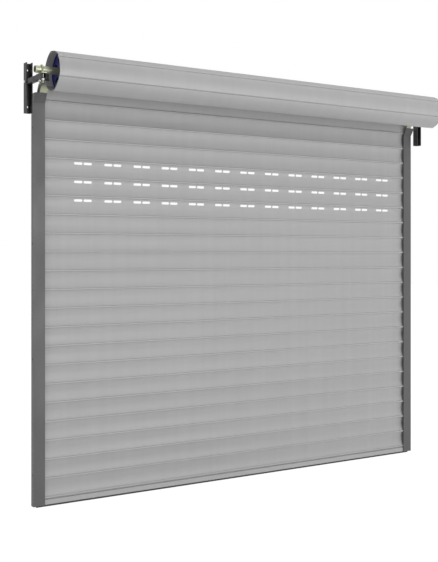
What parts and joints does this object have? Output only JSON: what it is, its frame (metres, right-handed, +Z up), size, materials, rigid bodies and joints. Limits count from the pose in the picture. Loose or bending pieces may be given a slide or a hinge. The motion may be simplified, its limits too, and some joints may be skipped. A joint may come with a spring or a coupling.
{
  "type": "roller shutter",
  "caption": "Wide exterior steel roller shutter, closed: interlocking curved slats in side guides, wound on spring drums on an overhead axle.",
  "frame": {"origin": "on the sill, under the middle of the closed curtain, midway between the faces of the guides", "axes": "+X across the opening, to the right seen from the roll's side; +Y through the curtain, away from the roll; +Z up"},
  "size_m": [3.244, 0.3899, 2.7237],
  "materials": {
    "slat_steel": "light grey coil paint, satin, a little dusty",
    "guide_steel": "mid grey paint over folded sheet, satin",
    "bracket_steel": "near-black paint, matt",
    "zinc_yellow": "yellow-passivated zinc, dulled to olive",
    "drum_blue": "navy blue paint, satin",
    "spring_steel": "blued spring strip, oiled",
    "fastener_steel": "bright zinc",
    "nylon": "black nylon",
    "seal_rubber": "black rubber"
  },
  "bodies": {
    "frame": {"guide_left": "guide_steel", "guide_liners_left": "nylon", "inlet_horn_left": "zinc_yellow", "bracket_channel_left": "bracket_steel", "bracket_arm_left": "bracket_steel", "axle_saddle_left": "zinc_yellow", "guide_right": "guide_steel", "guide_liners_right": "nylon", "inlet_horn_right": "zinc_yellow", "bracket_channel_right": "bracket_steel", "bracket_arm_right": "bracket_steel", "axle_saddle_right": "zinc_yellow", "arm_bolts": "fastener_steel", "axle_tube": "zinc_yellow", "axle_u_bolts": "zinc_yellow", "u_bolt_nuts": "fastener_steel", "spring_collars": "zinc_yellow", "lead_slat_lower": "slat_steel", "lead_slat_upper": "slat_steel"},
    "roll": {"drum_left_end": "drum_blue", "drum_left_inner": "drum_blue", "drum_right_inner": "drum_blue", "drum_right_end": "drum_blue", "drum_bushes": "nylon", "drum_springs": "spring_steel", "leading_clips": "drum_blue", "leading_screws": "fastener_steel", "leading_slat": "slat_steel", "wound_slat_1": "slat_steel", "wound_slat_2": "slat_steel", "wound_slat_3": "slat_steel", "wound_slat_4": "slat_steel", "wound_slat_5": "slat_steel"},
    "curtain": {"slat_01": "slat_steel", "slat_02": "slat_steel", "slat_03": "slat_steel", "slat_04": "slat_steel", "slat_05": "slat_steel", "slat_06": "slat_steel", "slat_07": "slat_steel", "slat_08": "slat_steel", "slat_09": "slat_steel", "slat_10": "slat_steel", "slat_11": "slat_steel", "slat_12": "slat_steel", "slat_13": "slat_steel", "slat_14": "slat_steel", "slat_15": "slat_steel", "slat_16": "slat_steel", "slat_17": "slat_steel", "slat_18": "slat_steel", "slat_19": "slat_steel", "slat_20": "slat_steel", "slat_21": "slat_steel", "slat_end_clips": "nylon", "bottom_rail": "slat_steel", "bottom_seal": "seal_rubber"}
  },
  "joints": [
    {"name": "curtain_lift", "type": "slide", "parent": "frame", "child": "curtain", "axis": [0, 0, 1], "range_m": [0, 2.3], "deforming": ["lead_slat_lower", "lead_slat_upper"]},
    {"name": "roll_turn", "type": "hinge", "parent": "frame", "child": "roll", "pos_m": [0, -0.25499, 2.60401], "axis": [1, 0, 0], "range_deg": [0, 1200.5]}
  ],
  "couplings": [
    {"joint": "roll_turn", "follows": "curtain_lift", "rad_per_m": 9.1061}
  ]
}
